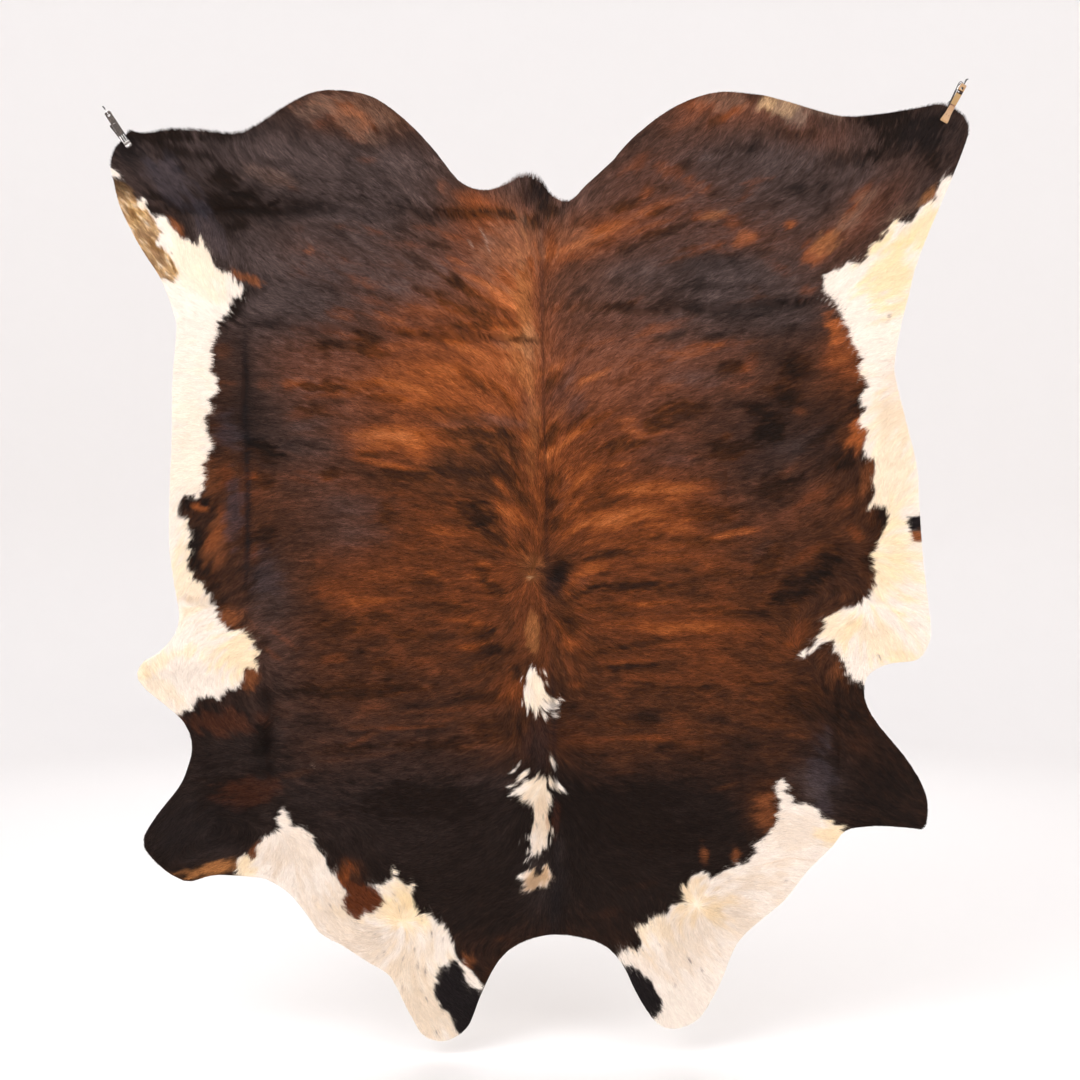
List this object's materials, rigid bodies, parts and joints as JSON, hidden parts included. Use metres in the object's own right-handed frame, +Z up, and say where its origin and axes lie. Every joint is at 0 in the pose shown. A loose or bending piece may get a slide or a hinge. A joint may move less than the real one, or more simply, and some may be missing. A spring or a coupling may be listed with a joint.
{
  "type": "cowhide rug with hanging clips",
  "caption": "One-piece brindle and cream hair-on cowhide rug, hung face-on by a metal and a wooden spring clip at its hind shanks.",
  "frame": {"origin": "middle of the straight line between the eyes of the two hanging clips, in the hide's own plane", "axes": "+Z up, towards the tail end; +X to the viewer's right, along the hide's width; -Y out of the hair side, towards the viewer"},
  "size_m": [2.0037, 0.0373, 2.2229],
  "materials": {
    "hide": "short glossy brindle hair with cream belly patches; pale suede flesh side",
    "bright_steel": "polished plate",
    "dark_steel": "dark, slightly worn patina",
    "pale_wood": "smooth sanded pale wood"
  },
  "bodies": {
    "root": {"hide": "hide", "clip_left_body": "bright_steel", "clip_left_plate": "dark_steel", "clip_left_lever": "dark_steel", "clip_left_pin": "bright_steel", "clip_right_front": "pale_wood", "clip_right_back": "pale_wood", "clip_right_frame": "bright_steel", "clip_right_pin": "bright_steel"}
  },
  "joints": []
}
